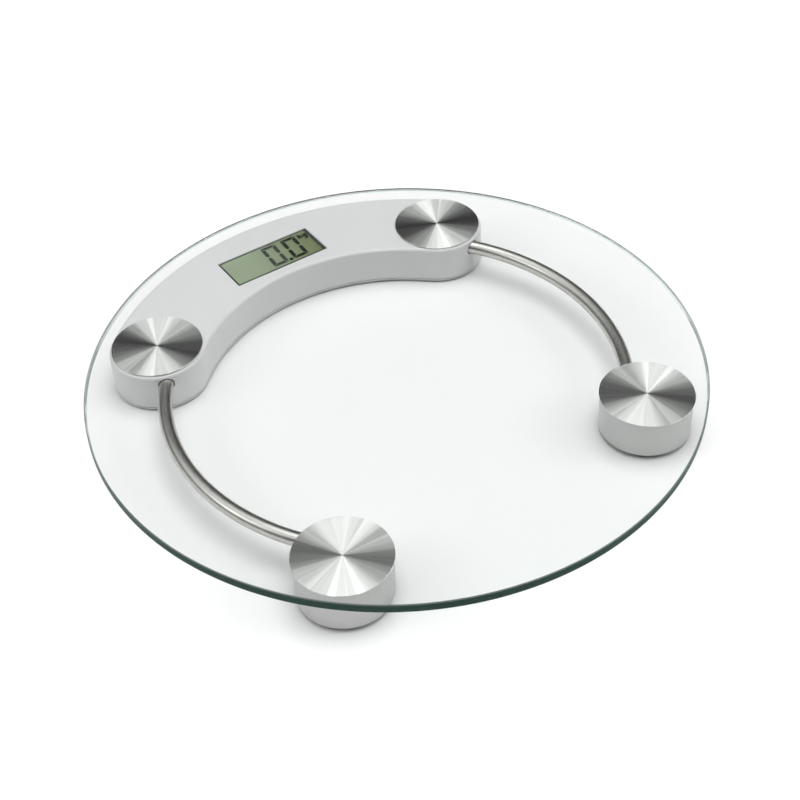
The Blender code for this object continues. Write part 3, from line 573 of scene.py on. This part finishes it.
ARRIS_ABOVE = 0.5
ARRIS_BELOW = 1.1
CUP_PIN = 2.2                                    # radius of the pin through the weighing cell
CUP_STUB = 5.0                                   # and of the stub under it
CUP_FLOOR = 4.4                                  # heights of the cup's floor and rim
CUP_RIM = 8.4
CUP_WALL = 2.0
CELL_ROOM = 0.8                                  # between the stub and the weighing cell
TREAD_RINGS = (14.6, 11.8, 9.0, 6.2)             # radii of the grooves under the foot
TREAD_DEPTH = 0.6
SCREWS = {"base_screw": (1.0, 0.9), "board_screw": (1.1, 0.7)}  # head height and thread radius
THREAD_PITCH = 0.6
BASE_BOSS = (3.0 * MM, 1.2 * MM, 14.0 * MM)      # radius, and its bore's radius and top
BOARD_BOSS = (2.2 * MM, 1.0 * MM, 20.5 * MM)
WINDOW_LIP = 0.35 * MM
TUBE_STEPS = 160
TUBE_FACETS = 64
TUBE_EDGE = 0.15 * MM


def make_glass():
    """The platform: two flat faces, a flat ground edge and two eased arrises."""
    radius = GLASS_HIGH.x / MM
    top = GLASS_HIGH.z / MM
    low = GLASS_LOW.z / MM
    middle = radius - 8.0
    path = filleted([(middle, top, 0), (radius - ARRIS_ABOVE, top, 0.15), (radius, top - ARRIS_ABOVE, 0.2),
                     (radius, low + ARRIS_BELOW, 0.4), (radius - ARRIS_BELOW, low, 0.3), (middle, low, 0)])
    glass = turned("glass_top", path, 360)
    finished(glass, ["glass_platform"],
             [LOOKS["clear_glass"], LOOKS["glass_rim"], LOOKS["glass_arris"]], sharp=50.0)
    ground = (radius - ARRIS_BELOW) * MM
    for face in glass.data.polygons:
        if face.center.xy.length > ground and abs(face.normal.z) < 0.95:
            face.material_index = 2 if face.normal.z > 0.3 else 1


def make_discs():
    """Spun steel discs under the glass, with a turned edge."""
    radius = (DISC_HIGH.x - DISC_LOW.x) / 2 / MM
    thick = (DISC_HIGH.z - DISC_LOW.z) / MM
    path = filleted([(2.0, thick, 0), (radius, thick, 0.15), (radius, 0.0, 0.1), (2.0, 0.0, 0)], 3)
    for corner in CORNERS:
        node = "disc_" + corner
        place = middle_of(node)
        place.z = DISC_LOW.z
        disc = turned("spun_" + node, path, 192, place)
        disc.rotation_euler.z = math.radians(CORNERS[corner] * 1.7)
        finished(disc, [node], LOOKS["spun_" + corner])


def housing_section():
    top = HOUSING_HIGH.z / MM
    low = HOUSING_LOW.z / MM
    wall = WALL / MM
    return filleted([(7.0, top, 0), (0.0, top, 1.9), (0.0, low, 0.35), (wall, low, 0.25),
                     (wall, CEILING / MM, 0.8), (7.0, CEILING / MM, 0)], 8)


def named(kind):
    return [name for name in sorted(NODES) if name.startswith(kind)]


def make_housing():
    shell = crescent_solid("housing_shell", housing_section())
    root = CEILING + WALL / 2
    posts = bmesh.new()
    bores = bmesh.new()
    for corner in ("rear_right", "rear_left"):
        centre = polar(CORNER_CIRCLE, CORNERS[corner])
        post(posts, centre, SEAT_OUTER, SEAT_BOTTOM, root, 96)
        post(bores, centre, SEAT_INNER, 0.0, CEILING, 96)
    for kind, boss, foot, facets in (("base_screw", BASE_BOSS, TRAY_TOP, (32, 24)),
                                     ("board_screw", BOARD_BOSS, BOARD_TOP, (24, 16))):
        radius, bore, bore_top = boss
        for name in named(kind):
            post(posts, middle_of(name), radius, foot + GAP, root, facets[0])
            post(bores, middle_of(name), bore, 0.0, bore_top, facets[1])
    cut(shell, posts, "UNION")
    cut(shell, bores)
    cut(shell, window_opening())
    pocket = bmesh.new()
    room = Vector((GAP, GAP, 0))
    low = raised(PANEL_LOW - room, CEILING - WALL)
    add_slab(pocket, low, raised(PANEL_HIGH + room, LENS_LOW.z), 0.6 * MM)
    cut(shell, pocket)
    holes = bmesh.new()
    for corner, way in (("rear_left", 1), ("rear_right", -1)):
        middle = CORNERS[corner]
        bent_rod(holes, TUBE_HOLE, middle + way * 9.0, middle + way * 16.0, 9, 48)
        bent_rod(holes, TUBE_HOLE, middle - way * 8.0, middle - way * 2.0, 7, 32)
    cut(shell, holes)
    finished(shell, ["housing_top"], LOOKS["white_plastic"], sharp=40.0)


def window_opening():
    """The display's opening, with a small chamfer round its upper edge."""
    lip = WINDOW_LIP
    low = LENS_LOW - Vector((GAP, GAP, 0))
    high = LENS_HIGH + Vector((GAP, GAP, 0))
    top = HOUSING_HIGH.z
    bm = bmesh.new()
    rings = []
    for wider, height in ((0.0, CEILING - WALL), (0.0, top - lip), (2 * lip, top + lip)):
        around = Vector((wider, wider, 0))
        plan = rounded_plan(low - around, high + around, 0.4 * MM + wider)
        rings.append([raised(point, height) for point in plan])
    lofted(bm, rings)
    return bm


def make_pods():
    top = POD_HIGH.z / MM
    low = POD_LOW.z / MM
    radius = (POD_HIGH.x - POD_LOW.x) / 2 / MM
    inner = radius - WALL / MM
    ceiling = CEILING / MM
    seat = SEAT_BOTTOM / MM
    outer_seat = SEAT_OUTER / MM
    inner_seat = SEAT_INNER / MM
    path = filleted([(4.0, top, 0), (radius - 0.15, top, 0.9), (radius, top - 6.0, 0),
                     (radius - 0.05, low, 0.7), (inner, low, 0.3), (inner, ceiling, 0.6),
                     (outer_seat, ceiling, 0.4), (outer_seat, seat, 0.2), (inner_seat, seat, 0.2),
                     (inner_seat, ceiling, 0.4), (4.0, ceiling, 0)], 5)
    for corner, way in (("front_left", -1), ("front_right", 1)):
        node = "pod_shell_" + corner
        place = raised(middle_of("disc_" + corner), 0.0)
        pod = turned("pod_cup_" + corner, path, 192, place)
        hole = bmesh.new()
        bent_rod(hole, TUBE_HOLE, CORNERS[corner] + way * 3.2, CORNERS[corner] + way * 14.5, 9, 48)
        cut(pod, hole)
        finished(pod, [node], LOOKS["silver_plastic"], sharp=40.0)


def make_feet():
    """Foot cups with softened rims on a pin, and rubber pads with ring treads."""
    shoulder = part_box("load_cell_rear_right")[0].z / MM - CELL_ROOM
    for corner in CORNERS:
        cup = "foot_cup_" + corner
        centre = raised(middle_of(cup), 0.0)
        low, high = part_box(cup)
        radius = (high.x - low.x) / 2 / MM
        bottom = low.z / MM
        top = high.z / MM
        inner = radius - CUP_WALL
        path = [(0.8, top, 0), (CUP_PIN, top, 0.5), (CUP_PIN, shoulder, 0.25), (CUP_STUB, shoulder, 0.4),
                (CUP_STUB, CUP_FLOOR, 0.8), (inner, CUP_FLOOR, 1.0), (inner, CUP_RIM, 0.4),
                (radius, CUP_RIM, 0.5), (radius, bottom, 0.8), (2.0, bottom, 0)]
        piece = turned("cup_" + cup, filleted(path), 96, centre)
        finished(piece, [cup], LOOKS["foot_plastic"], "foot_" + corner)
        pad = "foot_pad_" + corner
        low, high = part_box(pad)
        radius = (high.x - low.x) / 2 / MM
        top = high.z / MM
        path = [(2.0, top, 0), (radius, top, 0.2), (radius, 0.0, 0.5)]
        for groove in TREAD_RINGS:
            path += [(groove + 0.5, 0.0, 0.15), (groove + 0.35, TREAD_DEPTH, 0.15),
                     (groove - 0.35, TREAD_DEPTH, 0.15), (groove - 0.5, 0.0, 0.15)]
        path.append((2.0, 0.0, 0))
        piece = turned("tread_" + pad, filleted(path, 3), 96, centre)
        finished(piece, [pad], LOOKS["foot_rubber"], "foot_" + corner)


def cross(centre, reach, half, depth):
    """A plus-shaped prism that stands up to the depth above the centre and well below it."""
    outline = []
    for quarter in range(4):
        turn = Matrix.Rotation(math.radians(90 * quarter), 3, "Z")
        corners = ((reach, -half, 0), (reach, half, 0), (half, half, 0))
        outline += [centre + turn @ Vector(point) for point in corners]
    bm = bmesh.new()
    lofted(bm, [[raised(point, centre.z + rise) for point in outline] for rise in (-MM, depth)])
    return bm


def make_screws():
    """Pan-head screws that point up, with a cross recess and a ringed shank."""
    for kind, (head, thread) in SCREWS.items():
        core = thread * 0.75
        for name in named(kind):
            low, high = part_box(name)
            centre = raised((low + high) / 2, low.z)
            radius = (high.x - low.x) / 2 / MM
            tip = (high.z - low.z) / MM
            path = [(0.2, 0.0, 0), (radius, 0.0, 0.7), (radius, head, 0.1), (core, head, 0)]
            height = head + 0.4
            while height < tip - thread - 0.4:
                path += [(core, height, 0), (thread, height + 0.25, 0), (core, height + 0.5, 0)]
                height += THREAD_PITCH
            path.append((0.1, tip, 0))
            screw = turned("fine_" + name, filleted(path, 4), 32, centre)
            cut(screw, cross(centre, radius * 0.55 * MM, 0.28 * MM, 0.7 * MM))
            finished(screw, [name], LOOKS["screw_zinc"])


def tube_span(node):
    """Start and end of a tube in degrees round the platform's middle."""
    turns = [math.degrees(math.atan2(v.co.y, v.co.x)) % 360 for v in NODES[node].data.vertices]
    if max(turns) - min(turns) > 180:
        turns = [turn - 360 if turn > 180 else turn for turn in turns]
    return min(turns), max(turns)


def make_tubes():
    """Bent steel tubes, open at both ends."""
    for side in ("left", "right"):
        start, end = tube_span("tube_" + side)
        places = spread(start, end, TUBE_STEPS)
        ease = [TUBE_EDGE] + [0.0] * (TUBE_STEPS - 2) + [TUBE_EDGE]
        walls = [tube_ring(TUBE_RADIUS - less, place, TUBE_FACETS) for less, place in zip(ease, places)]
        bores = [tube_ring(TUBE_RADIUS - TUBE_WALL, place, TUBE_FACETS) for place in reversed(places)]
        bm = bmesh.new()
        lofted(bm, walls + bores, closed=True)
        finished(new_object("steel_tube_" + side, bm), ["tube_" + side], LOOKS["tube_steel"])


DIGIT_WIDTH = 9.6 * MM
DIGIT_HEIGHT = 19.9 * MM
DIGIT_SLANT = 0.055
DIGIT_FOOT = 117.9 * MM                          # lower edge of the digits
DIGIT_STROKE = 2.3 * MM
DIGIT_GAP = 0.25 * MM
DIGITS = {"tens": (-4.6 * MM, "lcd_glared_ink"), "units": (8.9 * MM, "lcd_dark")}  # left edge and ink; the tens digit's paler ink is painted reflection, a glare lying over it
POINT_LEFT = 5.9 * MM
SIGN_PLACE = (21.0 * MM, 132.9 * MM, 0.0)
SIGN_STROKE = 1.3 * MM
SIGN_BARS = (((0.5, 0.0), (0.5, 4.3)), ((0.9, 1.7), (2.2, 3.0)), ((1.1, 1.8), (2.4, 0.1)),
             ((3.5, 2.7), (5.0, 2.7)), ((3.4, 0.6), (3.4, 2.5)), ((3.5, 0.4), (5.0, 0.4)),
             ((5.1, -1.3), (5.1, 3.2)), ((3.4, -1.5), (5.0, -1.5)))           # mm
INK_THICKNESS = 0.03 * MM
SEAL_LOW = Vector((2.9, 3.5, 0.0)) * MM          # the dark seal's width, left and front
SEAL_AND_SHADE_HIGH = Vector((3.6, 2.3, 0.0)) * MM         # right and back; the right one is widened as painted shade of the opening's wall


def inked(bm, outline, slant, low, high):
    """A thin flat shape from an outline, leaning by the slant."""
    lofted(bm, [[Vector((x + y * slant, y, height)) for x, y in outline] for height in (low, high)])


def bar(bm, start, end, width, low, high, slant):
    """A square-ended stroke."""
    start = Vector(start)
    end = Vector(end)
    along = (end - start).normalized()
    side = Vector((-along.y, along.x)) * width / 2
    inked(bm, [start + side, end + side, end - side, start - side], slant, low, high)


def nought_outlines():
    """Six mitred bars of a seven-bar nought, for its lower left corner at the origin."""
    wide = DIGIT_WIDTH
    tall = DIGIT_HEIGHT
    stroke = DIGIT_STROKE
    gap = DIGIT_GAP
    middle = tall / 2
    outlines = []
    for flip in (False, True):
        across = [(gap, tall), (wide - gap, tall), (wide - stroke - gap, tall - stroke),
                  (stroke + gap, tall - stroke)]
        upright = [(0.0, tall - gap), (0.0, middle + stroke / 2 + gap), (stroke / 2, middle + gap),
                   (stroke, middle + stroke / 2 + gap), (stroke, tall - stroke - gap)]
        mirrored = [(wide - x, y) for x, y in upright]
        for outline in (across, upright, mirrored):
            outlines.append([(x, tall - y) for x, y in outline] if flip else outline)
    return outlines


def make_digits():
    """A nought, a point and a nought of seven-bar digits, and a small unit sign."""
    low = PANEL_HIGH.z
    high = low + INK_THICKNESS
    for name, (left, look) in DIGITS.items():
        bm = bmesh.new()
        for outline in nought_outlines():
            inked(bm, outline, DIGIT_SLANT, low, high)
        digit = new_object("display_digit_" + name, bm, (left, DIGIT_FOOT, 0.0))
        finished(digit, [], LOOKS[look])
    bm = bmesh.new()
    bar(bm, (0.0, 0.0), (DIGIT_STROKE, 0.0), DIGIT_STROKE, low, high, DIGIT_SLANT)
    point = new_object("display_point", bm, (POINT_LEFT, DIGIT_FOOT + 0.95 * MM, 0.0))
    finished(point, [], LOOKS["lcd_dark"])
    bm = bmesh.new()
    for start, end in SIGN_BARS:
        bar(bm, Vector(start) * MM, Vector(end) * MM, SIGN_STROKE, low, high, DIGIT_SLANT)
    sign = new_object("display_unit_sign", bm, SIGN_PLACE)
    finished(sign, [], LOOKS["lcd_dark"])


def make_display():
    """The panel: two sheets of glass on a dark seal, with the visible face let into the upper one."""
    high = raised(PANEL_HIGH, PANEL_HIGH.z - 0.05 * MM)
    panel = slab("lcd_panel", PANEL_LOW, high, 0.4 * MM, 0.12 * MM)
    finished(panel, ["display_panel"], LOOKS["panel_border"])
    low = raised(PANEL_LOW + SEAL_LOW, high.z + 0.01 * MM)
    # The dark border round the face is the panel's seal; on the right it is widened as painted shade of the
    # opening's wall
    face = slab("lcd_face", low, PANEL_HIGH - SEAL_AND_SHADE_HIGH, 0.3 * MM)
    finished(face, [], LOOKS["lcd_face"])
    make_digits()


KEPT = {
    "display_window": "display_window", "circuit_board": "board_laminate", "chip_potting": "component_black",
    "capacitor": "component_black", "unit_switch": "component_black", "switch_plunger": "component_black",
    "coin_cell": "coin_cell_can", "contact_positive": "contact_spring", "contact_negative": "contact_spring",
    "connector_strip": "potting_silicone", "housing_base": "white_plastic", "battery_door": "white_plastic",
    "unit_button": "silver_plastic", "load_cell": "cell_steel", "gauge_potting": "potting_silicone",
    "wires": "wire_sleeve",
}


def dress_kept_nodes():
    """The CAD pieces whose shape stays get the same looks."""
    for name, obj in NODES.items():
        if obj.hide_render:
            continue
        kind = next((k for k in KEPT if name.startswith(k)), None)
        if kind is None:
            continue
        obj.data.materials.clear()
        obj.data.materials.append(LOOKS[KEPT[kind]])


# ---------------------------------------------------------------- studio and camera

FLOOR_SIDE = 8.0
SOFTBOXES = {                                    # azimuth, elevation, distance, side and power in watts
    "key_above": (10.0, 84.0, 1.6, 1.2, 14.0),
    "fill_left": (160.0, 32.0, 1.6, 0.5, 2.6),
    "fill_right": (-38.0, 32.0, 1.6, 0.5, 3.0),
}
DOME_STRENGTH = 1.14
DOME_RISE = (0.22, 0.66)                         # heights between which the dome brightens
HORIZON = 0.06                                   # how bright it is at the horizon
DARK_WALL = 0.05                                 # and in front of the two dark walls
WALL_AZIMUTH = 57.0                              # one wall stands that way and the other one opposite
WALL_EDGES = (0.42, 0.66)                        # how far along the azimuth a dimming direction points
CAMERA_AZIMUTH = -32.36
CAMERA_ELEVATION = 41.10
CAMERA_ROLL = -2.86
CAMERA_DISTANCE = 0.7966
CAMERA_LENS = 67.27
CAMERA_SHIFT = (0.0061, -0.0449)


def make_floor():
    look = Look("studio_floor", (0.87, 0.87, 0.87), 0.9)
    look.tint(look.noise(3.0, 2.0), 0.004)
    look.put("Specular IOR Level", 0.0)
    bm = bmesh.new()
    bmesh.ops.create_grid(bm, x_segments=8, y_segments=8, size=FLOOR_SIDE / 2)
    floor = new_object("studio_floor", bm)
    floor.data.materials.append(look.material)


def softbox(name, azimuth, elevation, distance, size, power):
    """A square soft light that faces the platform from a direction given in degrees."""
    data = bpy.data.lights.new(name, "AREA")
    data.shape = "SQUARE"
    data.size = size
    data.energy = power
    light = bpy.data.objects.new(name, data)
    away = aim(azimuth, elevation)
    light.location = away * distance
    light.rotation_euler = away.to_track_quat("Z", "Y").to_euler()
    bpy.context.scene.collection.objects.link(light)


def aim(azimuth, elevation):
    """Unit vector to a direction given in degrees."""
    rise = math.radians(elevation)
    return polar(math.cos(rise), azimuth, math.sin(rise))


def smooth_step(tree, value, edges, ends):
    """From one end to the other as the value goes from edge to edge."""
    inputs = dict(zip(("Value", "From Min", "From Max", "To Min", "To Max"), (value, *edges, *ends)))
    return add_node(tree, "ShaderNodeMapRange", inputs, interpolation_type="SMOOTHSTEP").outputs[0]


def make_world():
    """A pale dome that is dim at the horizon, between two dark walls that face each other."""
    world = bpy.data.worlds.new("studio")
    bpy.context.scene.world = world
    world.use_nodes = True
    tree = world.node_tree
    direction = add_node(tree, "ShaderNodeTexCoord").outputs["Generated"]
    facing = add_node(tree, "ShaderNodeVectorMath", {0: direction, 1: aim(WALL_AZIMUTH, 0.0)},
                      operation="DOT_PRODUCT").outputs["Value"]
    along = add_node(tree, "ShaderNodeMath", {0: facing}, operation="ABSOLUTE").outputs[0]
    height = add_node(tree, "ShaderNodeSeparateXYZ", {0: direction}).outputs["Z"]
    dome = smooth_step(tree, height, DOME_RISE, (HORIZON, 1.0))
    walls = smooth_step(tree, along, WALL_EDGES, (1.0, DARK_WALL))
    both = add_node(tree, "ShaderNodeMath", {0: dome, 1: walls}, operation="MULTIPLY").outputs[0]
    strength = add_node(tree, "ShaderNodeMath", {0: both, 1: DOME_STRENGTH}, operation="MULTIPLY").outputs[0]
    background = tree.nodes["Background"]
    tree.links.new(strength, background.inputs["Strength"])
    background.inputs["Color"].default_value = (1.0, 1.0, 1.0, 1.0)


def make_camera():
    """The camera looks at the middle of the glass's top face."""
    turn = math.radians(CAMERA_AZIMUTH)
    rise = math.radians(CAMERA_ELEVATION)
    roll = math.radians(CAMERA_ROLL)
    back = Vector((math.sin(turn) * math.cos(rise), -math.cos(turn) * math.cos(rise), math.sin(rise)))
    right = Vector((math.cos(turn), math.sin(turn), 0.0))
    up = back.cross(right)
    across = right * math.cos(roll) + up * math.sin(roll)
    upward = up * math.cos(roll) - right * math.sin(roll)
    data = bpy.data.cameras.new("camera")
    data.lens = CAMERA_LENS
    data.shift_x, data.shift_y = CAMERA_SHIFT
    data.clip_start = 0.05
    camera = bpy.data.objects.new("camera", data)
    place = Vector((0.0, 0.0, GLASS_HIGH.z)) + back * CAMERA_DISTANCE
    rotation = Matrix((across, upward, back)).transposed().to_4x4()
    camera.matrix_world = Matrix.Translation(place) @ rotation
    bpy.context.scene.collection.objects.link(camera)
    bpy.context.scene.camera = camera


def make_studio():
    make_floor()
    make_world()
    for name, setting in SOFTBOXES.items():
        softbox(name, *setting)
    bpy.context.scene.view_settings.view_transform = "Standard"


make_camera()
make_studio()
make_glass()
make_discs()
make_housing()
make_pods()
make_tubes()
make_feet()
make_screws()
make_display()
dress_kept_nodes()
